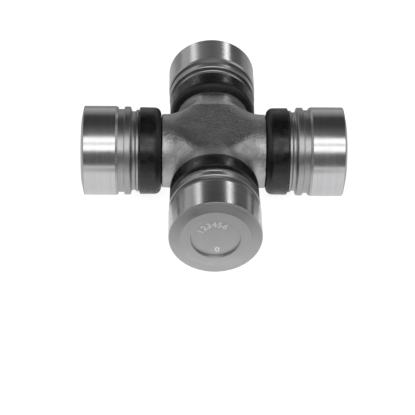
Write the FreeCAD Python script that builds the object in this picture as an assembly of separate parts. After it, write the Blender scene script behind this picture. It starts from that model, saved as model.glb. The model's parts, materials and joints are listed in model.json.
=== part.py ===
import FreeCAD, Part
import math
import os

# A universal joint cross: a forged four-armed spider, and on each arm a bearing cup that turns on a ring of
# needle rollers, closed by a rubber boot. Sizes are millimetres. The origin is where the two arm axes cross,
# the arms lie along X and Y, and every piece is made on the +X arm and then turned to its own arm.
# "at" means a distance out from the centre along an arm; "radius" is measured from the arm's axis.

ARMS = {name: 90 * quarter for quarter, name in enumerate(("right", "back", "left", "front"))}

# Overall
span = 88.7                   # over the end faces of two opposite cups
cup_radius = 15.08            # ground outside of a cup, a 30.16 mm cap

# Forged body of the spider
neck_step = 1.3               # how far a neck stands over the seal land
trim_half = 0.35              # half of the flat band left where the forging flash was trimmed
inner_corner_radius = 4.9     # seen from above, the hollow between two necks
neck_straight = 0.3           # straight end of a neck, outside that hollow
neck_edge = 0.4               # chamfer round the end of a neck

# Ground trunnion
seal_land_step = 1.25         # height of the seal land over the journal
land_root_fillet = 0.35
land_stop_gap = 0.45          # from that land's taper to the needle stop washer
journal_step_length = 0.5     # taper from the seal land down to the journal
trunnion_chamfer_length = 1.2
trunnion_chamfer_depth = 0.7
stem_overlap = 2.0            # how far a trunnion runs into its neck, where the two are joined
reservoir_radius = 3.0        # blind grease bore in the trunnion's end
reservoir_depth = 14.0
drill_tip_half_angle = 59.0
centre_flare = 0.7            # 60 degree centre at the mouth of that bore

# Needle rollers
needle_diameter = 2.5
race_clearance = 0.03         # radial, at the journal and again at the cup
needle_side_gap = 0.05        # least space between two needles
needle_end_gap = 0.1
needle_edge = 0.25            # chamfer on both its ends

# Bearing cup, from its open end outwards
cup_wall = 2.77               # between the ground outside and the bore
floor_thickness = 3.25
snout_wall = 0.79             # turned-down open end that carries the boot
mouth_chamfer = 0.25
bead_from_mouth = 1.1         # ridge that the boot snaps over
bead_width = 0.8
bead_height = 0.35
rim_height = 0.75             # narrow rim over the snout, which the boot's edge comes up to
rim_width = 0.6
round_groove_width = 1.9
round_groove_depth = 1.78     # this and the next depths are below the ground outside
round_groove_lean = 0.35      # how far each side leans outwards
round_groove_rounding = 0.7
land_depth = 0.18
land_width = 2.15
land_edge = 0.22              # chamfer on both its edges
clip_groove_width = 2.1
clip_groove_depth = 1.03
ground_chamfer_length = 0.72
ground_chamfer_depth = 0.33
end_drop = 0.8                # how far the end cone falls back at the ground edge
end_cone_width = 3.62         # seen from the end, from the ground outside in to the crest
end_ring_width = 3.38         # of the dished ring inside that crest
end_ring_dish = 0.2
end_recess_depth = 0.85       # below the inner edge of the dished ring
end_recess_lean = 0.15
end_edge_rounding = 0.35
recess_edge_rounding = 0.2
floor_corner = 0.3

# Thrust washer, moulded nylon
thrust_thickness = 0.8
thrust_play = 0.05            # on each side of it
thrust_edge_gap = 0.4         # to the cup's bore
thrust_nub_length = 2.4
thrust_nub_clearance = 0.08
thrust_nub_rounding = 0.3
thrust_hole_radius = 1.2
thrust_slot_count = 4         # grease slots across the face that bears on the trunnion
thrust_slot_width = 1.4
thrust_slot_depth = 0.3
thrust_slot_inset = 0.4       # from the nub to a slot's inner end

# Needle stop washer, steel
stop_thickness = 0.8
stop_bore_gap = 0.1
stop_rim_gap = 0.02
stop_side_gap = 0.1

# Boot seal, moulded rubber
boot_drop = 0.36              # below the cup's outside, so that it passes through a yoke's eye
boot_taper = 0.1              # how much smaller it is at the spider's end
boot_corner_radius = 2.2
boot_end_slope = 0.6          # how far its inner end leans away from the shoulder, outside the neck
shoulder_gap = 0.1
boot_wall = 4.25
boot_seat_gap = 0.05
boot_fit = 0.02
boot_tail = 1.4               # from the bead to the boot's outer edge
boot_edge_gap = 0.15          # between the boot's outer edge and the cup's rim
boot_edge_slope = 0.5
boot_edge_height = 0.65       # over the snout
boot_edge_rounding = 0.3
lip_clearance = 0.05          # seal lips over the ground land
lip_depth = 0.85
lip_half_width = 0.45
lip_tip_half_width = 0.1
lip_places = (1.0, 2.6)       # the two lips, measured from the boot's inner face

# Worked out across an arm
cup_bore_radius = cup_radius - cup_wall
journal_radius = cup_bore_radius - needle_diameter - 2 * race_clearance
pitch_radius = journal_radius + race_clearance + needle_diameter / 2
needle_space = needle_diameter + needle_side_gap
needle_count = int(math.pi / math.asin(needle_space / (2 * pitch_radius)))
seal_land_radius = journal_radius + seal_land_step
neck_half = seal_land_radius + neck_step
snout_radius = cup_bore_radius + snout_wall
bead_radius = snout_radius + bead_height
rim_radius = snout_radius + rim_height
round_groove_radius = cup_radius - round_groove_depth
land_radius = cup_radius - land_depth
clip_groove_radius = cup_radius - clip_groove_depth
end_ring_radius = cup_radius - end_cone_width
end_recess_radius = end_ring_radius - end_ring_width
boot_radius = cup_radius - boot_drop
boot_edge_radius = snout_radius + boot_edge_height

# Worked out along an arm
shoulder_at = neck_half + inner_corner_radius + neck_straight
boot_from = shoulder_at + shoulder_gap
mouth_at = boot_from + boot_wall + boot_seat_gap
bead_at = mouth_at + bead_from_mouth
boot_to = bead_at + bead_width + boot_tail
rim_at = boot_to + boot_edge_gap
round_groove_at = rim_at + rim_width
land_at = round_groove_at + round_groove_width
clip_groove_at = land_at + land_width
ground_at = clip_groove_at + clip_groove_width
end_at = span / 2
floor_at = end_at - floor_thickness
thrust_from = floor_at - thrust_play - thrust_thickness
trunnion_end_at = thrust_from - thrust_play
stop_from = mouth_at - boot_seat_gap + stop_side_gap
needle_from = stop_from + stop_thickness + needle_end_gap
needle_to = thrust_from - needle_end_gap
land_end_at = stop_from - land_stop_gap - journal_step_length


def vector(along, radius):
    return FreeCAD.Vector(along, radius, 0)


def turned(corners):
    """A solid turned about the X axis. A corner is (along, radius), and a third number rounds it off."""
    edges = []
    first = last = None
    count = len(corners)
    for i, corner in enumerate(corners):
        here = vector(*corner[:2])
        start = end = here
        arc = None
        if len(corner) == 3:
            back = (vector(*corners[i - 1][:2]) - here).normalize()
            ahead = (vector(*corners[(i + 1) % count][:2]) - here).normalize()
            half_angle = back.getAngle(ahead) / 2
            reach = corner[2] / math.tan(half_angle)
            start = here + back * reach
            end = here + ahead * reach
            inward = (back + ahead).normalize()
            middle = here + inward * (corner[2] / math.sin(half_angle) - corner[2])
            arc = Part.Arc(start, middle, end).toShape()
        if last is not None:
            edges.append(Part.LineSegment(last, start).toShape())
        else:
            first = start
        if arc:
            edges.append(arc)
        last = end
    edges.append(Part.LineSegment(last, first).toShape())
    face = Part.Face(Part.Wire(edges))
    return face.revolve(FreeCAD.Vector(0, 0, 0), FreeCAD.Vector(1, 0, 0), 360)


def on_arm(shape, turn):
    """The same shape on another arm, turned about the vertical axis."""
    return shape.rotated(FreeCAD.Vector(0, 0, 0), FreeCAD.Vector(0, 0, 1), turn)


def forged_body():
    """The spider's middle: a plus-shaped billet, hollow at its inner corners, rounded nearly to tubes."""
    reach = shoulder_at + neck_half
    bend = neck_half + inner_corner_radius
    depth = inner_corner_radius * (1 - math.cos(math.radians(45)))
    edges = []
    for turn in ARMS.values():
        quarter = [
            Part.LineSegment(vector(reach, -neck_half), vector(reach, neck_half)).toShape(),
            Part.LineSegment(vector(reach, neck_half), vector(bend, neck_half)).toShape(),
            Part.Arc(
                vector(bend, neck_half),
                vector(neck_half + depth, neck_half + depth),
                vector(neck_half, bend),
            ).toShape(),
            Part.LineSegment(vector(neck_half, bend), vector(neck_half, reach)).toShape(),
        ]
        edges += [on_arm(edge, turn) for edge in quarter]
    billet = Part.Face(Part.Wire(edges)).extrude(FreeCAD.Vector(0, 0, 2 * neck_half))
    billet.translate(FreeCAD.Vector(0, 0, -neck_half))

    def runs_along_a_neck(edge):
        middle = edge.CenterOfMass
        level = edge.BoundBox.ZLength < 0.001
        at_arm_end = max(abs(middle.x), abs(middle.y)) > reach - 0.001
        return level and not at_arm_end

    rounding = neck_half - trim_half
    body = billet.makeFillet(rounding, [edge for edge in billet.Edges if runs_along_a_neck(edge)])
    side = 2 * shoulder_at
    body = body.common(Part.makeBox(side, side, side, FreeCAD.Vector(-side / 2, -side / 2, -side / 2)))
    widest = rounding + trim_half * math.sqrt(2)
    outside = 2 * neck_half
    edge_cutter = turned([
        (shoulder_at - 2 * neck_edge, widest + neck_edge),
        (shoulder_at + neck_edge, widest - 2 * neck_edge),
        (shoulder_at + neck_edge, outside),
        (shoulder_at - 2 * neck_edge, outside),
    ])
    for turn in ARMS.values():
        body = body.cut(on_arm(edge_cutter, turn))
    return body


def trunnion():
    """One arm as it is ground: seal land, journal, and the blind grease bore in its end."""
    inside_at = shoulder_at - stem_overlap
    foot_radius = seal_land_radius + 2 * land_root_fillet
    stem = turned([
        (inside_at, 0),
        (inside_at, foot_radius),
        (shoulder_at, foot_radius),
        (shoulder_at, seal_land_radius, land_root_fillet),
        (land_end_at, seal_land_radius),
        (land_end_at + journal_step_length, journal_radius),
        (trunnion_end_at - trunnion_chamfer_length, journal_radius),
        (trunnion_end_at, journal_radius - trunnion_chamfer_depth),
        (trunnion_end_at, 0),
    ])
    tip = reservoir_radius / math.tan(math.radians(drill_tip_half_angle))
    flare_length = centre_flare * math.tan(math.radians(60))
    bore = turned([
        (trunnion_end_at - reservoir_depth - tip, 0),
        (trunnion_end_at - reservoir_depth, reservoir_radius),
        (trunnion_end_at - flare_length, reservoir_radius),
        (trunnion_end_at, reservoir_radius + centre_flare),
        (trunnion_end_at + 1, reservoir_radius + centre_flare),
        (trunnion_end_at + 1, 0),
    ])
    return stem.cut(bore)


def cross():
    arms = [on_arm(trunnion(), turn) for turn in ARMS.values()]
    return forged_body().multiFuse(arms).removeSplitter()


def bearing_cup():
    """A cup turned from bar, ground outside, with a clip groove, a round groove and a snout for the boot."""
    recess_rim_at = end_at - end_ring_dish
    recess_at = recess_rim_at - end_recess_depth
    return turned([
        (mouth_at, cup_bore_radius + mouth_chamfer),
        (mouth_at, snout_radius),
        (bead_at, snout_radius),
        (bead_at + bead_height, bead_radius),
        (bead_at + bead_width, bead_radius),
        (bead_at + bead_width, snout_radius),
        (rim_at, snout_radius),
        (rim_at, rim_radius),
        (round_groove_at, rim_radius),
        (round_groove_at + round_groove_lean, round_groove_radius, round_groove_rounding),
        (land_at - round_groove_lean, round_groove_radius, round_groove_rounding),
        (land_at, land_radius - land_edge),
        (land_at + land_edge, land_radius),
        (clip_groove_at - land_edge, land_radius),
        (clip_groove_at, land_radius - land_edge),
        (clip_groove_at, clip_groove_radius),
        (ground_at, clip_groove_radius),
        (ground_at, cup_radius - ground_chamfer_depth),
        (ground_at + ground_chamfer_length, cup_radius),
        (end_at - end_drop, cup_radius, end_edge_rounding),
        (end_at, end_ring_radius),
        (recess_rim_at, end_recess_radius, recess_edge_rounding),
        (recess_at, end_recess_radius - end_recess_lean),
        (recess_at, 0),
        (floor_at, 0),
        (floor_at, cup_bore_radius, floor_corner),
        (mouth_at + mouth_chamfer, cup_bore_radius),
    ])


def needle_rollers():
    """A full ring of needles with no cage, as separate solids in one group."""
    needle_radius = needle_diameter / 2
    needle = turned([
        (needle_from, 0),
        (needle_from, needle_radius - needle_edge),
        (needle_from + needle_edge, needle_radius),
        (needle_to - needle_edge, needle_radius),
        (needle_to, needle_radius - needle_edge),
        (needle_to, 0),
    ])
    ring = []
    for i in range(needle_count):
        angle = 2 * math.pi * i / needle_count
        place = FreeCAD.Vector(0, pitch_radius * math.cos(angle), pitch_radius * math.sin(angle))
        ring.append(needle.translated(place))
    return Part.Compound(ring)


def thrust_washer():
    """A nylon disc between the trunnion's end and the cup's floor, with grease slots and a centring nub."""
    nub_radius = reservoir_radius - thrust_nub_clearance
    thrust_to = thrust_from + thrust_thickness
    rim = cup_bore_radius - thrust_edge_gap
    disc = turned([
        (thrust_from - thrust_nub_length, thrust_hole_radius),
        (thrust_from - thrust_nub_length, nub_radius, thrust_nub_rounding),
        (thrust_from, nub_radius),
        (thrust_from, rim),
        (thrust_to, rim),
        (thrust_to, thrust_hole_radius),
    ])
    slot_start = FreeCAD.Vector(thrust_from, nub_radius + thrust_slot_inset, -thrust_slot_width / 2)
    slot = Part.makeBox(thrust_slot_depth, rim, thrust_slot_width, slot_start)
    for i in range(thrust_slot_count):
        turn = 360 * i / thrust_slot_count
        disc = disc.cut(slot.rotated(FreeCAD.Vector(0, 0, 0), FreeCAD.Vector(1, 0, 0), turn))
    return disc


def needle_stop_washer():
    """A thin steel ring that keeps the needles off the boot."""
    return turned([
        (stop_from, journal_radius + stop_bore_gap),
        (stop_from, cup_bore_radius - stop_rim_gap),
        (stop_from + stop_thickness, cup_bore_radius - stop_rim_gap),
        (stop_from + stop_thickness, journal_radius + stop_bore_gap),
    ])


def boot_seal():
    """A rubber boot: two lips run on the ground land, and its band is snapped over the cup's snout."""
    tip_radius = seal_land_radius + lip_clearance
    root_radius = tip_radius + lip_depth
    seat_at = mouth_at - boot_seat_gap
    band_radius = snout_radius + boot_fit
    lips = []
    for place in lip_places:
        tip_at = boot_from + place
        lips = [
            (tip_at + lip_half_width, root_radius),
            (tip_at + lip_tip_half_width, tip_radius),
            (tip_at - lip_tip_half_width, tip_radius),
            (tip_at - lip_half_width, root_radius),
        ] + lips
    return turned([
        (boot_from, root_radius),
        (boot_from, neck_half),
        (boot_from + boot_end_slope, boot_radius - boot_taper, boot_corner_radius),
        (boot_to - boot_edge_slope, boot_radius, boot_edge_rounding),
        (boot_to, boot_edge_radius),
        (boot_to, band_radius),
        (bead_at + bead_width + boot_fit, band_radius),
        (bead_at + bead_width + boot_fit, bead_radius + boot_fit),
        (bead_at + bead_height - boot_fit, bead_radius + boot_fit),
        (bead_at - boot_fit, band_radius),
        (seat_at, band_radius),
        (seat_at, root_radius),
    ] + lips)


PIECES = {
    "bearing_cup": bearing_cup,
    "needle_rollers": needle_rollers,
    "thrust_washer": thrust_washer,
    "needle_stop_washer": needle_stop_washer,
    "boot_seal": boot_seal,
}

os.makedirs("parts", exist_ok=True)
cross().exportStep("parts/cross.step")
for piece_name, make in PIECES.items():
    piece = make()
    for arm, turn in ARMS.items():
        on_arm(piece, turn).exportStep(f"parts/{piece_name}_{arm}.step")
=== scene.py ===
import json
import math

import bmesh
import bpy
from mathutils import Matrix, Quaternion, Vector, noise


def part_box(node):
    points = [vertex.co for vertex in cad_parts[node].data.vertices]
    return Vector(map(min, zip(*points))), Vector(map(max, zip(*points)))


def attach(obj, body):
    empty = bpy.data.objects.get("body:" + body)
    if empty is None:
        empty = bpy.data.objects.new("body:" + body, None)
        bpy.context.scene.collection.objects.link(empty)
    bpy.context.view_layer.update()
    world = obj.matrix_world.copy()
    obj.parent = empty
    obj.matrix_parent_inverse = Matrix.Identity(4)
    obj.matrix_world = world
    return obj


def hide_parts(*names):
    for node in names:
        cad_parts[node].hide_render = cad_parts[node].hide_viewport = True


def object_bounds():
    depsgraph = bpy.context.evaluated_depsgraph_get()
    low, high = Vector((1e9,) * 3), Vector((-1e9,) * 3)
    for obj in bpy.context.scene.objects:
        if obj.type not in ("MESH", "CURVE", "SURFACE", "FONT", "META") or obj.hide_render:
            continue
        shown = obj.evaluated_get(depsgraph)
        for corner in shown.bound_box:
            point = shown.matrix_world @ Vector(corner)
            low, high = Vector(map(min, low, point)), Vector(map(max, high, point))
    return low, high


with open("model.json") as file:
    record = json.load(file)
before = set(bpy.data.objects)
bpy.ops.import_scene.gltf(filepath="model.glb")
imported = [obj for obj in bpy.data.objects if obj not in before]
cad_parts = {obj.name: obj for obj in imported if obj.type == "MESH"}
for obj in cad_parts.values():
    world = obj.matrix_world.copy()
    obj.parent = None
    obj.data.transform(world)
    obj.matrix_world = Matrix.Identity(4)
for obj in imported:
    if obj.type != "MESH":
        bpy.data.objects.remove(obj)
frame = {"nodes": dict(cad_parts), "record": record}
cad_low, cad_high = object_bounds()

# The spider is one dark, scaled steel forging. Its necks run into each other round hollow corners, with a
# narrow band where the flash was trimmed off, and the back neck slopes before its boot, where a painted
# highlight makes its colour near white.
# Each trunnion is ground: a seal land, a journal, and a blind grease bore in its end.
mm = 0.001
arms = {"right": 0, "back": 90, "left": 180, "front": 270}
cross_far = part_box("cross")[1]
neck_half = cross_far.z
trunnion_end = cross_far.x
trim_half = 0.35 * mm
inner_corner, corner_power = 4.9 * mm, 2.75
neck_straight = 0.3 * mm
neck_edge = 0.4 * mm
pad_reach, pad_blend = 9.5 * mm, 4.5 * mm
pad_flatness = 0.7
pad_side_from, pad_side_blend = 0.7, 0.25
crown_from, crown_to, crown_slope = 10.4 * mm, 15.4 * mm, math.radians(6)
# The painted highlight on the back neck's slope: the heights where it starts and is full, its grey and its
# blend along the neck.
highlight_from_height, highlight_full_height = 10.8 * mm, 11.7 * mm
painted_highlight_shade, painted_highlight_blend = 0.95, (0.2 * mm, 0.4 * mm)
# The colour grows lighter towards the boots, and the skin rougher.
lighter_from, rougher_at, lightest_at = 11 * mm, 14 * mm, 16 * mm
lighter_by, rougher_by = 1.25, 0.08
pit_depth = 0.17 * mm
land_radius = 11.0 * mm
land_length = 3.5 * mm
land_foot = 0.35 * mm
journal_radius = 9.75 * mm
journal_step = 0.5 * mm
tip_length, tip_depth = 1.2 * mm, 0.7 * mm
bore_radius = 3.0 * mm
bore_depth = 14.0 * mm
bore_point = 1.8 * mm
bore_flare = 0.7 * mm
corner_steps = 52
rounding_steps = 34
flat_steps = 8
scale_height, scale_pitch = 0.022 * mm, 2.6 * mm
fine_share, fine_scale = 0.5, 2.7
bend = neck_half + inner_corner
shoulder = bend + neck_straight
rounding = neck_half - trim_half
land_end = shoulder + land_length


def node(tree, kind, inputs=None, **options):
    """Adds a node. Its inputs are named or counted, and each is given a value or another node's output."""
    made = tree.nodes.new(kind)
    for option, value in options.items():
        setattr(made, option, value)
    for socket, value in (inputs or {}).items():
        if isinstance(value, bpy.types.NodeSocket):
            tree.links.new(value, made.inputs[socket])
        else:
            made.inputs[socket].default_value = value
    return made


def new_finish(name, colour, metallic, roughness):
    """A material with its Principled shader, which the caller adds to."""
    finish = bpy.data.materials.new(name)
    finish.use_nodes = True
    shader = finish.node_tree.nodes["Principled BSDF"]
    shader.inputs["Base Color"].default_value = (*colour, 1)
    shader.inputs["Metallic"].default_value = metallic
    shader.inputs["Roughness"].default_value = roughness
    return finish, finish.node_tree, shader


def forged_scale():
    """Dark oxide scale over steel: blotches a few millimetres wide, and a fine pitted skin. Towards the boots
    the colour is lighter, and on the back neck's slope a painted highlight makes it near white, speckled by
    the pits."""
    finish, tree, shader = new_finish("forged_scale", (0.33, 0.33, 0.34), 1.0, 0.35)
    place = node(tree, "ShaderNodeTexCoord").outputs["Object"]
    blotches = node(tree, "ShaderNodeTexNoise", {
        "Vector": place, "Scale": 260, "Detail": 4, "Roughness": 0.6})
    pits = node(tree, "ShaderNodeTexNoise", {"Vector": place, "Scale": 1500, "Detail": 2, "Roughness": 0.6})
    shade = node(tree, "ShaderNodeValToRGB", {"Fac": blotches.outputs["Fac"]})
    shade.color_ramp.elements[0].position = 0.3
    shade.color_ramp.elements[0].color = (0.37, 0.37, 0.375, 1)
    shade.color_ramp.elements[1].position = 0.72
    shade.color_ramp.elements[1].color = (0.49, 0.49, 0.495, 1)
    sides = node(tree, "ShaderNodeSeparateXYZ", {0: place}).outputs
    # A painted highlight: on the back neck's slope the colour is painted near white, speckled by the pits.
    from_middle = node(tree, "ShaderNodeMath", {
        0: sides["Y"], 1: (crown_from + crown_to) / 2}, operation="SUBTRACT").outputs[0]
    from_middle = node(tree, "ShaderNodeMath", {0: from_middle}, operation="ABSOLUTE").outputs[0]
    along = node(tree, "ShaderNodeMapRange", {
        "Value": from_middle, "From Min": (crown_to - crown_from) / 2 - painted_highlight_blend[0],
        "From Max": (crown_to - crown_from) / 2 + painted_highlight_blend[1],
        "To Min": 1.0, "To Max": 0.0}).outputs["Result"]
    on_top = node(tree, "ShaderNodeMapRange", {
        "Value": sides["Z"], "From Min": highlight_from_height, "From Max": highlight_full_height}).outputs["Result"]
    highlight_zone = node(tree, "ShaderNodeMath", {0: along, 1: on_top}, operation="MULTIPLY").outputs[0]
    spots = node(tree, "ShaderNodeMapRange", {
        "Value": pits.outputs["Fac"], "From Min": 0.35, "From Max": 0.6, "To Min": 0.6}).outputs["Result"]
    painted_highlight_mask = node(tree, "ShaderNodeMath", {0: highlight_zone, 1: spots}, operation="MULTIPLY").outputs[0]
    # The colour grows lighter towards the boots.
    from_centre = node(tree, "ShaderNodeVectorMath", {0: place}, operation="ABSOLUTE").outputs[0]
    from_centre = node(tree, "ShaderNodeSeparateXYZ", {0: from_centre}).outputs
    out = node(tree, "ShaderNodeMath", {
        0: from_centre["X"], 1: from_centre["Y"]}, operation="MAXIMUM").outputs[0]
    lighter_out = node(tree, "ShaderNodeMapRange", {
        "Value": out, "From Min": lighter_from, "From Max": lightest_at,
        "To Min": 1.0, "To Max": lighter_by}).outputs["Result"]
    shaded = node(tree, "ShaderNodeVectorMath", {
        0: shade.outputs["Color"], "Scale": lighter_out}, operation="SCALE").outputs["Vector"]
    colour = node(tree, "ShaderNodeMix", {
        0: painted_highlight_mask, 6: shaded, 7: (painted_highlight_shade, painted_highlight_shade, painted_highlight_shade, 1)}, data_type="RGBA").outputs[2]
    tree.links.new(colour, shader.inputs["Base Color"])
    gloss = node(tree, "ShaderNodeMapRange", {
        "Value": pits.outputs["Fac"], "From Min": 0.3, "From Max": 0.7, "To Min": 0.27, "To Max": 0.4})
    rougher = node(tree, "ShaderNodeMapRange", {
        "Value": out, "From Min": lighter_from, "From Max": rougher_at,
        "To Min": 0.0, "To Max": rougher_by}).outputs["Result"]
    gloss = node(tree, "ShaderNodeMath", {
        0: gloss.outputs["Result"], 1: rougher}, operation="ADD").outputs[0]
    tree.links.new(gloss, shader.inputs["Roughness"])
    bump = node(tree, "ShaderNodeBump", {
        "Height": pits.outputs["Fac"], "Strength": 1.0, "Distance": pit_depth})
    tree.links.new(bump.outputs["Normal"], shader.inputs["Normal"])
    return finish


def ground_journal():
    """Hardened and ground bright, with faint marks round it."""
    finish, tree, shader = new_finish("ground_journal", (0.62, 0.62, 0.63), 1.0, 0.18)
    place = node(tree, "ShaderNodeTexCoord").outputs["Object"]
    marks = node(tree, "ShaderNodeTexNoise", {"Vector": place, "Scale": 900, "Detail": 3})
    gloss = node(tree, "ShaderNodeMapRange", {"Value": marks.outputs["Fac"], "To Min": 0.12, "To Max": 0.26})
    tree.links.new(gloss.outputs["Result"], shader.inputs["Roughness"])
    return finish


def smooth_step(share):
    """Runs from 0 to 1 with level ends."""
    share = min(max(share, 0), 1)
    return share * share * (3 - 2 * share)


def corner_station(position, inward):
    """One line over the body from the crest of its top, down its rounded side, to the same place below."""
    start = Vector(position)
    inward = Vector(inward)
    crest = start + inward * rounding
    across = 1 if abs(inward.y) >= abs(inward.x) else 0
    middle = crest + inward * (crest[across] / -inward[across])
    half = [(*middle.lerp(crest, i / flat_steps), neck_half) for i in range(flat_steps)]
    for i in range(rounding_steps + 1):
        lean = math.pi / 2 * (1 - i / rounding_steps)
        place = start + inward * rounding * (1 - math.cos(lean))
        half.append((*place, trim_half + rounding * math.sin(lean)))
    return [Vector(p) for p in half] + [Vector((x, y, -z)) for x, y, z in reversed(half)]


def spider_mesh():
    """One quarter of the spider, between two arms, turned four times and welded. The middle of its top and
    underside is flatter than the necks, as the dies leave it, and the back neck slopes before its boot."""
    stations = [corner_station((shoulder, neck_half), (0, -1))]
    for i in range(corner_steps + 1):
        turn = math.radians(-90 - 90 * i / corner_steps)
        across, along = (abs(share) ** (2 / corner_power) for share in (math.cos(turn), math.sin(turn)))
        inward = Vector((-across ** (corner_power - 1), -along ** (corner_power - 1))).normalized()
        stations.append(corner_station((bend - inner_corner * across, bend - inner_corner * along), inward))
    stations.append(corner_station((neck_half, shoulder), (-1, 0)))

    widest = rounding + trim_half * math.sqrt(2)
    first_turns = [math.atan2(p.z, p.y) for p in stations[0]]
    last_turns = [math.atan2(p.z, p.x) for p in stations[-1]]
    for p in stations[0]:
        p.x = shoulder - neck_edge + widest - math.hypot(p.y, p.z)
    for p in stations[-1]:
        p.y = shoulder - neck_edge + widest - math.hypot(p.x, p.z)

    foot = land_radius + land_foot
    rings = [(shoulder, widest - neck_edge), (shoulder, foot)]
    for i in range(1, 6):
        lean = math.pi / 2 * i / 6
        rings.append((shoulder + land_foot * (1 - math.cos(lean)), foot - land_foot * math.sin(lean)))
    rings += [
        (shoulder + land_foot, land_radius),
        (land_end, land_radius),
        (land_end + journal_step, journal_radius),
        (trunnion_end - tip_length, journal_radius),
        (trunnion_end, journal_radius - tip_depth),
        (trunnion_end, bore_radius + bore_flare),
        (trunnion_end - bore_flare * math.sqrt(3), bore_radius),
        (trunnion_end - bore_depth, bore_radius),
        (trunnion_end - bore_depth - bore_point, 0),
    ]
    before = [[Vector((along, r * math.cos(t), r * math.sin(t))) for t in first_turns] for along, r in rings]
    after = [[Vector((r * math.cos(t), along, r * math.sin(t))) for t in last_turns] for along, r in rings]
    rows = list(reversed(before)) + stations + after
    forged = range(len(rings) - 2, len(rings) + len(stations) + 1)

    shell = bmesh.new()
    for quarter in range(4):
        turn = Matrix.Rotation(math.radians(90 * quarter), 3, "Z")
        grid = [[shell.verts.new(turn @ p) for p in row] for row in rows]
        for i in range(len(grid) - 1):
            for a, b, c, d in zip(grid[i], grid[i + 1], grid[i + 1][1:], grid[i][1:]):
                face = shell.faces.new((a, b, c, d))
                face.material_index = 0 if i in forged else 1
                face.smooth = True
    bmesh.ops.remove_doubles(shell, verts=shell.verts[:], dist=0.0005 * mm)
    bmesh.ops.recalc_face_normals(shell, faces=shell.faces[:])
    for v in shell.verts:
        out = max(abs(v.co.x), abs(v.co.y))
        pad = 1 - smooth_step((out - pad_reach) / pad_blend)
        height = abs(v.co.z) / neck_half
        side = smooth_step((height - pad_side_from) / pad_side_blend)
        v.co.z *= 1 + pad * pad_flatness * (1 - height) * side
        sloped = min(max(v.co.y, crown_from), crown_to) - crown_from
        ceiling = neck_half - math.tan(crown_slope) * sloped
        v.co.z = min(max(v.co.z, -ceiling), ceiling)
    shell.normal_update()
    for v in shell.verts:
        if all(f.material_index == 0 for f in v.link_faces):
            lift = noise.noise(v.co / scale_pitch) + fine_share * noise.noise(v.co / scale_pitch * fine_scale)
            v.co += v.normal * scale_height * (lift - 1)
    for edge in shell.edges:
        edge.smooth = edge.calc_face_angle(0) < math.radians(30)
    mesh = bpy.data.meshes.new("forged_spider")
    shell.to_mesh(mesh)
    shell.free()
    return mesh


spider = bpy.data.objects.new("forged_spider", spider_mesh())
bpy.context.collection.objects.link(spider)
spider.data.materials.append(forged_scale())
spider.data.materials.append(ground_journal())
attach(spider, "spider")
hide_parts("cross")

# The bearing cups are turned from bar, case hardened, and ground on the outside, where a yoke's eye holds
# them. From the open end out: a snout with a bead for the boot, a rim, a round groove, a land, the square
# clip groove, and the ground band. The end has a shallow cone, a dished ring and a sunk floor.
cup_near, cup_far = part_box("bearing_cup_right")
cup_mouth, cup_end, cup_radius = cup_near.x, cup_far.x, cup_far.z
clip_groove = next(m for m in frame["record"]["mounts"] if m["name"] == "clip_groove_right")
clip_groove_radius = clip_groove["dims"]["r_mm"] * mm
clip_groove_width = clip_groove["dims"]["length_mm"] * mm
clip_groove_at = clip_groove["pos_m"][0] - clip_groove_width / 2
cup_bore = 12.31 * mm
cup_floor = 3.25 * mm
snout_radius = 13.1 * mm
mouth_chamfer = 0.25 * mm
bead_from_mouth, bead_width, bead_height = 1.1 * mm, 0.8 * mm, 0.35 * mm
rim_radius, rim_width = 13.85 * mm, 0.6 * mm
land_width, land_drop, land_edge = 2.15 * mm, 0.18 * mm, 0.22 * mm
round_groove_width, round_groove_depth = 1.9 * mm, 1.78 * mm
round_groove_lean, round_groove_corner = 0.35 * mm, 0.7 * mm
ground_chamfer_length, ground_chamfer_depth = 0.72 * mm, 0.33 * mm
end_drop, end_edge = 0.8 * mm, 0.35 * mm
crest_radius, ring_dish = 11.46 * mm, 0.2 * mm
recess_radius, recess_depth = 8.08 * mm, 0.85 * mm
recess_lean, recess_edge = 0.15 * mm, 0.2 * mm
arc_steps = 6
hold = 0.06 * mm
cup_sides, sharp_angle = 224, math.radians(20)
own_turn_step = 0.7
line_contrast, line_drift = 0.14, 0.03
INSIDE, TURNED, GROUND, END, RECESS = range(5)


def outline(name, corners):
    """The section of a turned piece as one line of points, in order. A corner is (along, radius, finish) and
    a fourth number rounds it. Where the finish changes, its point is there twice, once for each. Two more
    points close to the ends of each long stretch keep it flat when it is shaded smooth."""
    points = []
    for i, corner in enumerate(corners):
        along, radius, finish = corner[:3]
        here = Vector((along, radius, 0))
        turn = [here]
        if len(corner) > 3:
            back = (Vector((*corners[i - 1][:2], 0)) - here).normalized()
            ahead = (Vector((*corners[i + 1][:2], 0)) - here).normalized()
            half_angle = back.angle(ahead) / 2
            centre = here + (back + ahead).normalized() * corner[3] / math.sin(half_angle)
            start = (here + back * corner[3] / math.tan(half_angle) - centre).normalized()
            end = (here + ahead * corner[3] / math.tan(half_angle) - centre).normalized()
            turn = [centre + start.slerp(end, s / arc_steps) * corner[3] for s in range(arc_steps + 1)]
        if points and points[-1][1] != finish:
            points.append((turn[0], points[-1][1]))
        points += [(p, finish) for p in turn]
    line = []
    for (here, finish), (after, _) in zip(points, points[1:]):
        line.append((here, finish))
        if (after - here).length > 4 * hold:
            step = (after - here).normalized() * hold
            line += [(here + step, finish), (after - step, finish)]
    line.append(points[-1])
    mesh = bpy.data.meshes.new(name)
    mesh.from_pydata([p for p, finish in line], [(i, i + 1) for i in range(len(line) - 1)], [])
    kept = mesh.attributes.new("finish", "INT", "POINT")
    kept.data.foreach_set("value", [finish for p, finish in line])
    piece = bpy.data.objects.new(name, mesh)
    bpy.context.collection.objects.link(piece)
    return piece


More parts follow.
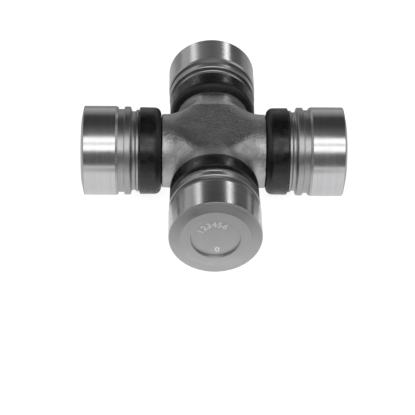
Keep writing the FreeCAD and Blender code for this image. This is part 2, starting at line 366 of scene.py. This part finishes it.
def lathe():
    """Turns the host's outline about the X axis, then swings it to its arm. It keeps where each point was on
    the lathe, so that a finish can follow the tool marks."""
    tree = bpy.data.node_groups.new("turned_on_a_lathe", "GeometryNodeTree")
    face = tree.interface
    face.new_socket("Outline", in_out="INPUT", socket_type="NodeSocketGeometry")
    face.new_socket("Sides", in_out="INPUT", socket_type="NodeSocketInt")
    face.new_socket("Own turn", in_out="INPUT", socket_type="NodeSocketFloat")
    face.new_socket("Arm", in_out="INPUT", socket_type="NodeSocketFloat")
    face.new_socket("Sharp angle", in_out="INPUT", socket_type="NodeSocketFloat")
    for finish in ("Inside", "Turned", "Ground", "End", "Recess"):
        face.new_socket(finish, in_out="INPUT", socket_type="NodeSocketMaterial")
    face.new_socket("Piece", in_out="OUTPUT", socket_type="NodeSocketGeometry")
    given = node(tree, "NodeGroupInput").outputs
    section = given["Outline"]
    count = node(tree, "GeometryNodeAttributeDomainSize", {"Geometry": section}).outputs["Point Count"]
    around = node(tree, "FunctionNodeIntegerMath", {0: given["Sides"], 1: 1}, operation="ADD").outputs[0]
    grid = node(tree, "GeometryNodeMeshGrid", {"Vertices X": count, "Vertices Y": around}).outputs["Mesh"]
    index = node(tree, "GeometryNodeInputIndex").outputs[0]
    point = node(tree, "FunctionNodeIntegerMath", {0: index, 1: around}, operation="DIVIDE_FLOOR").outputs[0]
    side = node(tree, "FunctionNodeIntegerMath", {0: index, 1: around}, operation="MODULO").outputs[0]
    place = node(tree, "GeometryNodeInputPosition").outputs[0]
    corner = node(tree, "GeometryNodeSampleIndex", {
        "Geometry": section, "Value": place, "Index": point}, data_type="FLOAT_VECTOR")
    kept = node(tree, "GeometryNodeInputNamedAttribute", {"Name": "finish"}, data_type="INT").outputs[0]
    finish = node(tree, "GeometryNodeSampleIndex", {
        "Geometry": section, "Value": kept, "Index": point}, data_type="INT")
    split = node(tree, "ShaderNodeSeparateXYZ", {0: corner.outputs[0]}).outputs
    share = node(tree, "ShaderNodeMath", {0: side, 1: given["Sides"]}, operation="DIVIDE").outputs[0]
    angle = node(tree, "ShaderNodeMath", {0: share, 1: 2 * math.pi, 2: given["Own turn"]},
                 operation="MULTIPLY_ADD").outputs[0]
    cosine = node(tree, "ShaderNodeMath", {0: angle}, operation="COSINE").outputs[0]
    sine = node(tree, "ShaderNodeMath", {0: angle}, operation="SINE").outputs[0]
    y = node(tree, "ShaderNodeMath", {0: split["Y"], 1: cosine}, operation="MULTIPLY").outputs[0]
    z = node(tree, "ShaderNodeMath", {0: split["Y"], 1: sine}, operation="MULTIPLY").outputs[0]
    turned = node(tree, "ShaderNodeCombineXYZ", {0: split["X"], 1: y, 2: z}).outputs[0]
    shape = node(tree, "GeometryNodeStoreNamedAttribute", {
        "Geometry": grid, "Name": "finish_at", "Value": finish.outputs[0]}, data_type="INT").outputs[0]
    shape = node(tree, "GeometryNodeSetPosition", {"Geometry": shape, "Position": turned}).outputs[0]
    shape = node(tree, "GeometryNodeStoreNamedAttribute", {
        "Geometry": shape, "Name": "on_lathe", "Value": place}, data_type="FLOAT_VECTOR").outputs[0]
    swing = node(tree, "ShaderNodeCombineXYZ", {2: given["Arm"]}).outputs[0]
    shape = node(tree, "GeometryNodeTransform", {"Geometry": shape, "Rotation": swing}).outputs[0]
    finish_at = node(tree, "GeometryNodeInputNamedAttribute", {
        "Name": "finish_at"}, data_type="INT").outputs[0]
    shape = node(tree, "GeometryNodeStoreNamedAttribute", {
        "Geometry": shape, "Name": "finish_of_face", "Value": finish_at},
        data_type="INT", domain="FACE").outputs[0]
    shape = node(tree, "GeometryNodeMergeByDistance", {"Geometry": shape, "Distance": 0.0005 * mm}).outputs[0]
    lean = node(tree, "GeometryNodeInputMeshEdgeAngle").outputs["Unsigned Angle"]
    sharp = node(tree, "FunctionNodeCompare", {0: lean, 1: given["Sharp angle"]}, operation="GREATER_THAN")
    shape = node(tree, "GeometryNodeSetShadeSmooth", {"Geometry": shape, "Shade Smooth": True}).outputs[0]
    shape = node(tree, "GeometryNodeSetShadeSmooth", {
        "Geometry": shape, "Selection": sharp.outputs[0], "Shade Smooth": False}, domain="EDGE").outputs[0]
    shape = node(tree, "GeometryNodeRealizeInstances", {"Geometry": shape}).outputs[0]
    face_finish = node(tree, "GeometryNodeInputNamedAttribute", {
        "Name": "finish_of_face"}, data_type="INT").outputs[0]
    shape = node(tree, "GeometryNodeSetMaterial", {"Geometry": shape, "Material": given["Inside"]}).outputs[0]
    for number, finish_name in ((TURNED, "Turned"), (GROUND, "Ground"), (END, "End"), (RECESS, "Recess")):
        chosen = node(tree, "FunctionNodeCompare", {2: face_finish, 3: number}, data_type="INT",
                      operation="EQUAL").outputs[0]
        shape = node(tree, "GeometryNodeSetMaterial", {
            "Geometry": shape, "Selection": chosen, "Material": given[finish_name]}).outputs[0]
    node(tree, "NodeGroupOutput", {0: shape})
    return tree


def worked(piece, tree, **sizes):
    """Runs a tree on a piece with the given sizes and keeps the result as its plain mesh."""
    step = piece.modifiers.new(tree.name, "NODES")
    step.node_group = tree
    sockets = {s.name: s.identifier for s in tree.interface.items_tree if s.in_out == "INPUT"}
    for name, value in sizes.items():
        step[sockets[name.replace("_", " ")]] = value
    done = piece.evaluated_get(bpy.context.evaluated_depsgraph_get())
    mesh = bpy.data.meshes.new_from_object(done)
    piece.modifiers.remove(step)
    piece.data = mesh
    mesh.name = piece.name
    for i in reversed(range(len(mesh.materials))):
        if mesh.materials[i] is None:
            mesh.materials.pop(index=i)
    return piece


def machined(name, colour, roughness, spread, line_width, line_depth):
    """Steel cut or ground on a lathe: lines run round it, and its shade and gloss wander a little. The lines
    drift by a small share of their height, so that none closes on itself."""
    finish, tree, shader = new_finish(name, colour, 1.0, roughness)
    at = node(tree, "ShaderNodeAttribute", attribute_name="on_lathe").outputs["Vector"]
    split = node(tree, "ShaderNodeSeparateXYZ", {0: at}).outputs
    flat = node(tree, "ShaderNodeCombineXYZ", {1: split["Y"], 2: split["Z"]}).outputs[0]
    radius = node(tree, "ShaderNodeVectorMath", {0: flat}, operation="LENGTH").outputs["Value"]
    drift = node(tree, "ShaderNodeMath", {0: split["Y"], 1: line_drift}, operation="MULTIPLY").outputs[0]
    along = node(tree, "ShaderNodeCombineXYZ", {0: split["X"], 1: radius, 2: drift}).outputs[0]
    lines = node(tree, "ShaderNodeTexNoise", {
        "Vector": along, "Scale": 1 / line_width, "Detail": 3, "Roughness": 0.65}).outputs["Fac"]
    cloud = node(tree, "ShaderNodeTexNoise", {"Vector": at, "Scale": 130, "Detail": 3}).outputs["Fac"]
    darker, lighter = ((*[c * (1 + swing) for c in colour], 1) for swing in (-line_contrast, line_contrast))
    shade = node(tree, "ShaderNodeMix", {0: lines, 6: darker, 7: lighter}, data_type="RGBA")
    tree.links.new(shade.outputs[2], shader.inputs["Base Color"])
    both = node(tree, "ShaderNodeMath", {0: lines, 1: cloud}, operation="ADD").outputs[0]
    gloss = node(tree, "ShaderNodeMapRange", {
        "Value": both, "From Min": 0.6, "From Max": 1.4,
        "To Min": roughness - spread, "To Max": roughness + spread}).outputs["Result"]
    tree.links.new(gloss, shader.inputs["Roughness"])
    bump = node(tree, "ShaderNodeBump", {"Height": lines, "Distance": line_depth})
    tree.links.new(bump.outputs["Normal"], shader.inputs["Normal"])
    return finish


turning = lathe()
cup_finishes = {
    "Inside": machined("ground_bore", (0.60, 0.60, 0.61), 0.25, 0.05, 0.3 * mm, 0.0004 * mm),
    "Turned": machined("turned_steel", (0.45, 0.45, 0.455), 0.34, 0.08, 0.35 * mm, 0.003 * mm),
    "Ground": machined("ground_steel", (0.62, 0.62, 0.63), 0.22, 0.05, 0.4 * mm, 0.0006 * mm),
    "End": machined("faced_steel", (0.45, 0.45, 0.45), 0.36, 0.12, 0.45 * mm, 0.003 * mm),
    "Recess": machined("faced_recess", (0.53, 0.53, 0.53), 0.38, 0.12, 0.45 * mm, 0.003 * mm),
}
bead_at = cup_mouth + bead_from_mouth
ground_at = clip_groove_at + clip_groove_width
land_at = clip_groove_at - land_width
round_groove_at = land_at - round_groove_width
rim_at = round_groove_at - rim_width
round_bottom = cup_radius - round_groove_depth
land_top = cup_radius - land_drop
recess_rim_at = cup_end - ring_dish
recess_at = recess_rim_at - recess_depth
cup_outline = [
    (cup_end - cup_floor, 0, INSIDE),
    (cup_end - cup_floor, cup_bore, INSIDE),
    (cup_mouth + mouth_chamfer, cup_bore, TURNED),
    (cup_mouth, cup_bore + mouth_chamfer, TURNED),
    (cup_mouth, snout_radius, TURNED),
    (bead_at, snout_radius, TURNED),
    (bead_at + bead_height, snout_radius + bead_height, TURNED),
    (bead_at + bead_width, snout_radius + bead_height, TURNED),
    (bead_at + bead_width, snout_radius, TURNED),
    (rim_at, snout_radius, TURNED),
    (rim_at, rim_radius, TURNED),
    (round_groove_at, rim_radius, TURNED),
    (round_groove_at + round_groove_lean, round_bottom, TURNED, round_groove_corner),
    (land_at - round_groove_lean, round_bottom, TURNED, round_groove_corner),
    (land_at, land_top - land_edge, TURNED),
    (land_at + land_edge, land_top, TURNED),
    (clip_groove_at - land_edge, land_top, TURNED),
    (clip_groove_at, land_top - land_edge, TURNED),
    (clip_groove_at, clip_groove_radius, TURNED),
    (ground_at, clip_groove_radius, TURNED),
    # The chamfer into the ground band takes the faced finish: rougher, which spreads its highlight, and
    # lighter, which is a painted highlight.
    (ground_at, cup_radius - ground_chamfer_depth, RECESS),
    (ground_at + ground_chamfer_length, cup_radius, GROUND),
    (cup_end - end_drop, cup_radius, END, end_edge),
    (cup_end, crest_radius, RECESS),
    (recess_rim_at, recess_radius, RECESS, recess_edge),
    (recess_at, recess_radius - recess_lean, RECESS),
    (recess_at, 0, RECESS),
]
for arm, degrees in arms.items():
    cup = outline(f"cup_{arm}", cup_outline)
    worked(cup, turning, Sides=cup_sides, Own_turn=own_turn_step * degrees, Arm=math.radians(degrees),
           Sharp_angle=sharp_angle, **cup_finishes)
    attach(cup, f"cup_assembly_{arm}")
    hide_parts(f"bearing_cup_{arm}")

# Plain numbers are stamped in relief round the sunk floor of each cup's end, six on an arc over its middle
# and one below it, as marks that say nothing. They are 2.2 mm high and stand about 0.1 mm off the floor.
mark_height, mark_relief = 2.2 * mm, 0.12 * mm
mark_edge, mark_weight = 0.04 * mm, 0.05 * mm
height_of_digit = 0.72
mark_count, mark_radius = 6, 5.4 * mm
mark_first, mark_last = math.radians(152), math.radians(58)
low_mark = (0.6 * mm, -5.2 * mm)


def mark(text_of_mark, x, y, turn):
    """One number as a mesh in the plane of an end, with its foot towards the middle."""
    letters = bpy.data.curves.new("mark", "FONT")
    letters.body = text_of_mark
    letters.size = mark_height / height_of_digit
    letters.align_x, letters.align_y = "CENTER", "CENTER"
    letters.extrude, letters.bevel_depth = mark_relief / 2, mark_edge
    letters.offset = mark_weight
    letters.resolution_u = 3
    writer = bpy.data.objects.new("mark", letters)
    bpy.context.collection.objects.link(writer)
    mesh = bpy.data.meshes.new_from_object(writer.evaluated_get(bpy.context.evaluated_depsgraph_get()))
    bpy.data.objects.remove(writer)
    bpy.data.curves.remove(letters)
    mesh.transform(Matrix.Translation((x, y, 0)) @ Matrix.Rotation(turn, 4, "Z"))
    return mesh


def end_marks():
    """All the numbers of one end, on the right arm: their plane is turned to face along X."""
    joined = bmesh.new()
    for i in range(mark_count):
        angle = mark_first + (mark_last - mark_first) * i / (mark_count - 1)
        x, y = mark_radius * math.cos(angle), mark_radius * math.sin(angle)
        joined.from_mesh(mark(str(i + 1), x, y, angle - math.pi / 2))
    joined.from_mesh(mark("0", *low_mark, 0))
    mesh = bpy.data.meshes.new("end_marks")
    joined.to_mesh(mesh)
    joined.free()
    facing = Matrix(((0, 0, 1, recess_at), (1, 0, 0, 0), (0, 1, 0, 0), (0, 0, 0, 1)))
    mesh.transform(facing)
    mesh.polygons.foreach_set("use_smooth", [False] * len(mesh.polygons))
    return mesh


relief = end_marks()
# The numbers are a lighter steel than the end around them.
relief.materials.append(machined("rubbed_marks", (0.85, 0.85, 0.85), 0.3, 0.05, 0.4 * mm, 0.001 * mm))
for arm, degrees in arms.items():
    marks = bpy.data.objects.new(f"end_marks_{arm}", relief.copy())
    marks.data.transform(Matrix.Rotation(math.radians(degrees), 4, "Z"))
    bpy.context.collection.objects.link(marks)
    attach(marks, f"cup_assembly_{arm}")

# Inside each cup a full ring of 27 loose needles, 2.5 mm across with bevelled ends, rolls between the
# journal and the cup. A steel stop washer keeps them off the boot, and a moulded nylon washer lies at the
# cup's floor.
needle_near, needle_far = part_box("needle_rollers_right")
needle_radius, needle_count = 1.25 * mm, 27
needle_edge, needle_rounding = 0.25 * mm, 0.15 * mm
needle_sides, needle_sharp_angle = 20, math.radians(35)
race_gap = 0.03 * mm
needle_pitch = cup_bore - race_gap - needle_radius


def needle_ring():
    """Sets copies of the host needle evenly round an arm's axis and swings the ring to its arm."""
    tree = bpy.data.node_groups.new("ring_of_needles", "GeometryNodeTree")
    face = tree.interface
    face.new_socket("Needle", in_out="INPUT", socket_type="NodeSocketGeometry")
    face.new_socket("Count", in_out="INPUT", socket_type="NodeSocketInt")
    face.new_socket("Pitch radius", in_out="INPUT", socket_type="NodeSocketFloat")
    face.new_socket("Arm", in_out="INPUT", socket_type="NodeSocketFloat")
    face.new_socket("Steel", in_out="INPUT", socket_type="NodeSocketMaterial")
    face.new_socket("Ring", in_out="OUTPUT", socket_type="NodeSocketGeometry")
    given = node(tree, "NodeGroupInput").outputs
    circle = node(tree, "GeometryNodeMeshCircle", {
        "Vertices": given["Count"], "Radius": given["Pitch radius"]}, fill_type="NONE").outputs[0]
    upright = node(tree, "GeometryNodeTransform", {
        "Geometry": circle, "Rotation": (math.pi / 2, 0, math.pi / 2)}).outputs[0]
    copies = node(tree, "GeometryNodeInstanceOnPoints", {
        "Points": upright, "Instance": given["Needle"]}).outputs[0]
    swing = node(tree, "ShaderNodeCombineXYZ", {2: given["Arm"]}).outputs[0]
    shape = node(tree, "GeometryNodeTransform", {"Geometry": copies, "Rotation": swing}).outputs[0]
    shape = node(tree, "GeometryNodeRealizeInstances", {"Geometry": shape}).outputs[0]
    shape = node(tree, "GeometryNodeSetMaterial", {"Geometry": shape, "Material": given["Steel"]}).outputs[0]
    node(tree, "NodeGroupOutput", {0: shape})
    return tree


def lapped_steel():
    """Bright steel with a thin film of grease, so that its gloss wanders."""
    finish, tree, shader = new_finish("lapped_steel", (0.72, 0.72, 0.73), 1.0, 0.12)
    place = node(tree, "ShaderNodeTexCoord").outputs["Object"]
    film = node(tree, "ShaderNodeTexNoise", {"Vector": place, "Scale": 420, "Detail": 3})
    gloss = node(tree, "ShaderNodeMapRange", {"Value": film.outputs["Fac"], "To Min": 0.06, "To Max": 0.24})
    tree.links.new(gloss.outputs["Result"], shader.inputs["Roughness"])
    return finish


def stamped_steel():
    """Sheet steel as it leaves the press: grey, with a fine rolled grain."""
    finish, tree, shader = new_finish("stamped_steel", (0.48, 0.48, 0.49), 1.0, 0.36)
    place = node(tree, "ShaderNodeTexCoord").outputs["Object"]
    grain = node(tree, "ShaderNodeTexNoise", {"Vector": place, "Scale": 1600, "Detail": 3})
    gloss = node(tree, "ShaderNodeMapRange", {"Value": grain.outputs["Fac"], "To Min": 0.28, "To Max": 0.46})
    tree.links.new(gloss.outputs["Result"], shader.inputs["Roughness"])
    bump = node(tree, "ShaderNodeBump", {"Height": grain.outputs["Fac"], "Distance": 0.004 * mm})
    tree.links.new(bump.outputs["Normal"], shader.inputs["Normal"])
    return finish


def moulded_nylon():
    """Natural nylon: cream, slightly cloudy and a little translucent, with a satin face."""
    finish, tree, shader = new_finish("moulded_nylon", (0.72, 0.69, 0.60), 0.0, 0.42)
    shader.inputs["Subsurface Weight"].default_value = 0.15
    shader.inputs["Subsurface Radius"].default_value = (0.8 * mm, 0.7 * mm, 0.5 * mm)
    place = node(tree, "ShaderNodeTexCoord").outputs["Object"]
    cloud = node(tree, "ShaderNodeTexNoise", {"Vector": place, "Scale": 300, "Detail": 3}).outputs["Fac"]
    shade = node(tree, "ShaderNodeMix", {
        0: cloud, 6: (0.66, 0.63, 0.54, 1), 7: (0.78, 0.75, 0.66, 1)}, data_type="RGBA")
    tree.links.new(shade.outputs[2], shader.inputs["Base Color"])
    return finish


needle_outline = [
    (needle_near.x, 0, INSIDE),
    (needle_near.x, needle_radius - needle_edge, INSIDE),
    (needle_near.x + needle_edge, needle_radius, INSIDE, needle_rounding),
    (needle_far.x - needle_edge, needle_radius, INSIDE, needle_rounding),
    (needle_far.x, needle_radius - needle_edge, INSIDE),
    (needle_far.x, 0, INSIDE),
]
ring_tree = needle_ring()
lapped, stamped, nylon = lapped_steel(), stamped_steel(), moulded_nylon()
for arm, degrees in arms.items():
    needles = outline(f"needles_{arm}", needle_outline)
    worked(needles, turning, Sides=needle_sides, Own_turn=0.0, Arm=0.0,
           Sharp_angle=needle_sharp_angle, Inside=lapped)
    worked(needles, ring_tree, Count=needle_count, Pitch_radius=needle_pitch, Arm=math.radians(degrees),
           Steel=lapped)
    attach(needles, f"needle_ring_{arm}")
    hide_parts(f"needle_rollers_{arm}")
    for washer, finish in (("thrust_washer", nylon), ("needle_stop_washer", stamped)):
        plain = frame["nodes"][f"{washer}_{arm}"]
        plain.data.materials.clear()
        plain.data.materials.append(finish)

# The boot seals are moulded from black nitrile rubber. A boot snaps over the bead on the cup's snout and its
# two lips run on the ground land, with a thick wall between the cup and the spider's shoulder.
boot_near, boot_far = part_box("boot_seal_right")
boot_inner, boot_outer, boot_radius = boot_near.x, boot_far.x, boot_far.z
boot_taper, boot_corner = 0.1 * mm, 2.2 * mm
boot_end_slope = 0.6 * mm
boot_wall, boot_fit = 4.25 * mm, 0.02 * mm
boot_edge_radius, boot_edge_slope, boot_edge = 13.75 * mm, 0.5 * mm, 0.3 * mm
lip_clearance, lip_depth = 0.05 * mm, 0.85 * mm
lip_half, lip_tip_half = 0.45 * mm, 0.1 * mm
lip_places = (1.0 * mm, 2.6 * mm)
dull_length, dull_by = 0.8 * mm, 0.2
lip_tip = land_radius + lip_clearance
lip_root = lip_tip + lip_depth
band = snout_radius + boot_fit
boot_sides = 192


def black_rubber():
    """Moulded rubber: nearly black, with a soft shine that clouds over here and there, as on handled rubber,
    and fades at the end towards the spider."""
    finish, tree, shader = new_finish("black_rubber", (0.004, 0.004, 0.0045), 0.0, 0.24)
    shader.inputs["Specular IOR Level"].default_value = 0.65
    place = node(tree, "ShaderNodeTexCoord").outputs["Object"]
    cloud = node(tree, "ShaderNodeTexNoise", {"Vector": place, "Scale": 300, "Detail": 4, "Roughness": 0.6})
    grain = node(tree, "ShaderNodeTexNoise", {"Vector": place, "Scale": 2600, "Detail": 2})
    gloss = node(tree, "ShaderNodeMapRange", {
        "Value": cloud.outputs["Fac"], "From Min": 0.36, "From Max": 0.6, "To Min": 0.42, "To Max": 0.2})
    at = node(tree, "ShaderNodeAttribute", attribute_name="on_lathe").outputs["Vector"]
    along = node(tree, "ShaderNodeSeparateXYZ", {0: at}).outputs["X"]
    dull = node(tree, "ShaderNodeMapRange", {
        "Value": along, "From Min": boot_inner + dull_length,
        "From Max": boot_inner + boot_corner + dull_length, "To Min": dull_by, "To Max": 0.0})
    rough = node(tree, "ShaderNodeMath", {
        0: gloss.outputs["Result"], 1: dull.outputs["Result"]}, operation="ADD")
    tree.links.new(rough.outputs[0], shader.inputs["Roughness"])
    bump = node(tree, "ShaderNodeBump", {"Height": grain.outputs["Fac"], "Distance": 0.004 * mm})
    tree.links.new(bump.outputs["Normal"], shader.inputs["Normal"])
    return finish


boot_outline = [
    (boot_inner, lip_root, INSIDE),
    (boot_inner, neck_half, INSIDE),
    (boot_inner + boot_end_slope, boot_radius - boot_taper, INSIDE, boot_corner),
    (boot_outer - boot_edge_slope, boot_radius, INSIDE, boot_edge),
    (boot_outer, boot_edge_radius, INSIDE),
    (boot_outer, band, INSIDE),
    (bead_at + bead_width + boot_fit, band, INSIDE),
    (bead_at + bead_width + boot_fit, band + bead_height, INSIDE),
    (bead_at + bead_height - boot_fit, band + bead_height, INSIDE),
    (bead_at - boot_fit, band, INSIDE),
    (boot_inner + boot_wall, band, INSIDE),
    (boot_inner + boot_wall, lip_root, INSIDE),
]
for lip in reversed(lip_places):
    boot_outline += [
        (boot_inner + lip + lip_half, lip_root, INSIDE),
        (boot_inner + lip + lip_tip_half, lip_tip, INSIDE),
        (boot_inner + lip - lip_tip_half, lip_tip, INSIDE),
        (boot_inner + lip - lip_half, lip_root, INSIDE),
    ]
boot_outline.append(boot_outline[0])
rubber = black_rubber()
for arm, degrees in arms.items():
    boot = outline(f"boot_{arm}", boot_outline)
    worked(boot, turning, Sides=boot_sides, Own_turn=0.0, Arm=math.radians(degrees),
           Sharp_angle=sharp_angle, Inside=rubber)
    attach(boot, f"cup_assembly_{arm}")
    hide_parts(f"boot_seal_{arm}")

# Floor, lamps and camera: the part lies on a white table between two big side lamps, with two lamps in front
# and two narrow ones behind it. In the steel the table's image is painted: for mirrored rays the table glows
# bright near the part and dimmer behind it, and a painted dark reflection lies before it.
floor_level = cad_low.z
table_shade, table_glow = 0.6, 0.88
glow_near, glow_far = (-0.03, 0.64), (0.12, 0.05)
# The painted dark reflection before the part: its centre, its depth and its soft edge.
dark_centre, dark_depth = (0, -0.12, 0), -0.35
dark_from, dark_to = 0.025, 0.075
lamp_watts = 4.0
table_top = bpy.data.meshes.new("table")
reach = 4.0
table_top.from_pydata([(-reach, -reach, floor_level), (reach, -reach, floor_level),
                       (reach, reach, floor_level), (-reach, reach, floor_level)], [], [(0, 1, 2, 3)])
table = bpy.data.objects.new("table", table_top)
bpy.context.collection.objects.link(table)
white = bpy.data.materials.new("white_table")
white.use_nodes = True
tree = white.node_tree
tree.nodes.clear()
ray = node(tree, "ShaderNodeLightPath").outputs
mirrored = node(tree, "ShaderNodeMath", {0: ray["Is Glossy Ray"], 1: ray["Is Transmission Ray"]},
                operation="MAXIMUM").outputs[0]
place = node(tree, "ShaderNodeTexCoord").outputs["Object"]
depth = node(tree, "ShaderNodeSeparateXYZ", {0: place}).outputs["Y"]
# A painted reflection: mirrored rays see the table glow, bright in front and near the part, dim behind it.
painted_reflection_glow = node(tree, "ShaderNodeMapRange", {
    "Value": depth, "From Min": glow_near[0], "From Max": glow_far[0],
    "To Min": glow_near[1], "To Max": glow_far[1]}).outputs["Result"]
# A painted dark reflection: in a soft spot before the part the mirrored glow turns dark.
in_front = node(tree, "ShaderNodeVectorMath", {
    0: place, 1: dark_centre}, operation="DISTANCE").outputs["Value"]
painted_dark_reflection = node(tree, "ShaderNodeMapRange", {
    "Value": in_front, "From Min": dark_from, "From Max": dark_to,
    "To Min": dark_depth, "To Max": 1.0}).outputs["Result"]
painted_reflection_glow = node(tree, "ShaderNodeMath", {0: painted_reflection_glow, 1: painted_dark_reflection}, operation="MULTIPLY").outputs[0]
glow = node(tree, "ShaderNodeMath", {0: mirrored, 1: painted_reflection_glow}, operation="MULTIPLY").outputs[0]
glow = node(tree, "ShaderNodeMath", {
    0: ray["Is Camera Ray"], 1: table_glow, 2: glow}, operation="MULTIPLY_ADD").outputs[0]
matt = node(tree, "ShaderNodeBsdfDiffuse", {"Color": (table_shade, table_shade, table_shade, 1)}).outputs[0]
light = node(tree, "ShaderNodeEmission", {"Strength": glow}).outputs[0]
whole = node(tree, "ShaderNodeAddShader", {0: matt, 1: light}).outputs[0]
node(tree, "ShaderNodeOutputMaterial", {"Surface": whole})
table_top.materials.append(white)


def lamp(name, azimuth, elevation, distance, width, height, radiance):
    """A flat soft lamp that faces the part. Azimuth 0 is in front, 90 to the right. At a radiance of 1 its
    power is lamp_watts for each square metre."""
    a, e = math.radians(azimuth), math.radians(elevation)
    away = Vector((math.sin(a) * math.cos(e), -math.cos(a) * math.cos(e), math.sin(e)))
    data = bpy.data.lights.new(name, "AREA")
    data.shape = "RECTANGLE"
    data.size, data.size_y = width, height
    data.energy = lamp_watts * width * height * radiance
    made = bpy.data.objects.new(name, data)
    made.location = away * distance
    made.rotation_mode = "QUATERNION"
    made.rotation_quaternion = away.to_track_quat("Z", "Y")
    made.visible_camera = False
    bpy.context.collection.objects.link(made)


lamp("lamp_left", -80, 30, 1.0, 0.8, 0.6, 0.6)
lamp("lamp_right", 90, 35, 1.0, 0.9, 0.7, 0.6)
lamp("lamp_front_low", 3, 46.5, 1.0, 0.85, 0.28, 1.42)
lamp("lamp_front_high", 3, 66, 1.0, 0.85, 0.26, 1.42)
lamp("strip_left", 180 + 30, 26, 2.4, 0.27, 0.68, 1.05)
lamp("strip_right", 180 - 26.5, 29.5, 2.4, 0.28, 0.68, 1.7)

world = bpy.data.worlds.new("studio")
bpy.context.scene.world = world
world.use_nodes = True
tree = world.node_tree
tree.nodes.clear()
way = node(tree, "ShaderNodeTexCoord").outputs["Generated"]
split = node(tree, "ShaderNodeSeparateXYZ", {0: way}).outputs


def shades_by_height(lowest, *between, highest):
    """The walls' grey from low to high. A stop is (height, grey)."""
    shades = node(tree, "ShaderNodeValToRGB", {"Fac": split["Z"]})
    stops = shades.color_ramp.elements
    for stop, (height, _) in zip(stops, (lowest, highest)):
        stop.position = height
    for height, _ in between:
        stops.new(height)
    for stop, (_, grey) in zip(stops, (lowest, *between, highest)):
        stop.color = (grey, grey, grey, 1)
    return shades.outputs["Color"]


behind = shades_by_height((0.0, 0.55), (0.25, 0.45), (0.5, 0.25), highest=(0.64, 0.05))
ahead = shades_by_height((0.0, 0.12), highest=(1.0, 0.14))
front_back = node(tree, "ShaderNodeMapRange", {"Value": split["Y"], "From Min": -0.1, "From Max": 0.4})
front_back.interpolation_type = "SMOOTHSTEP"
dim_right = node(tree, "ShaderNodeMapRange", {
    "Value": split["X"], "From Min": 0.2, "From Max": 0.45, "To Min": 1.0, "To Max": 0.25}).outputs["Result"]
behind = node(tree, "ShaderNodeVectorMath", {
    0: behind, "Scale": dim_right}, operation="SCALE").outputs["Vector"]
mix = node(tree, "ShaderNodeMix", {0: front_back.outputs["Result"], 6: ahead, 7: behind}, data_type="RGBA")
ray = node(tree, "ShaderNodeLightPath").outputs
around = node(tree, "ShaderNodeBackground", {"Color": mix.outputs[2]}).outputs[0]
plain = node(tree, "ShaderNodeBackground", {"Color": (1, 1, 1, 1)}).outputs[0]
sky = node(tree, "ShaderNodeMixShader", {0: ray["Is Camera Ray"], 1: around, 2: plain}).outputs[0]
node(tree, "ShaderNodeOutputWorld", {"Surface": sky})

azimuth, elevation, roll = (math.radians(angle) for angle in (-2.013, 39.389, 1.511))
eye_distance = 536.5 * mm
aim_right, aim_up = -1.43 * mm, -19.22 * mm
back = Vector((math.sin(azimuth) * math.cos(elevation), -math.cos(azimuth) * math.cos(elevation),
               math.sin(elevation)))
right = (-back).cross(Vector((0, 0, 1))).normalized()
up = right.cross(-back)
eye = back * eye_distance
aim = right * aim_right + up * aim_up
camera = bpy.data.objects.new("camera", bpy.data.cameras.new("camera"))
bpy.context.collection.objects.link(camera)
camera.data.lens = 137.16
camera.data.sensor_width = 36
camera.data.clip_start, camera.data.clip_end = 0.05, 20
camera.location = eye
camera.rotation_mode = "QUATERNION"
camera.rotation_quaternion = (aim - eye).to_track_quat("-Z", "Y") @ Quaternion((0, 0, 1), roll)
bpy.context.scene.camera = camera
bpy.context.scene.view_settings.view_transform = "Standard"
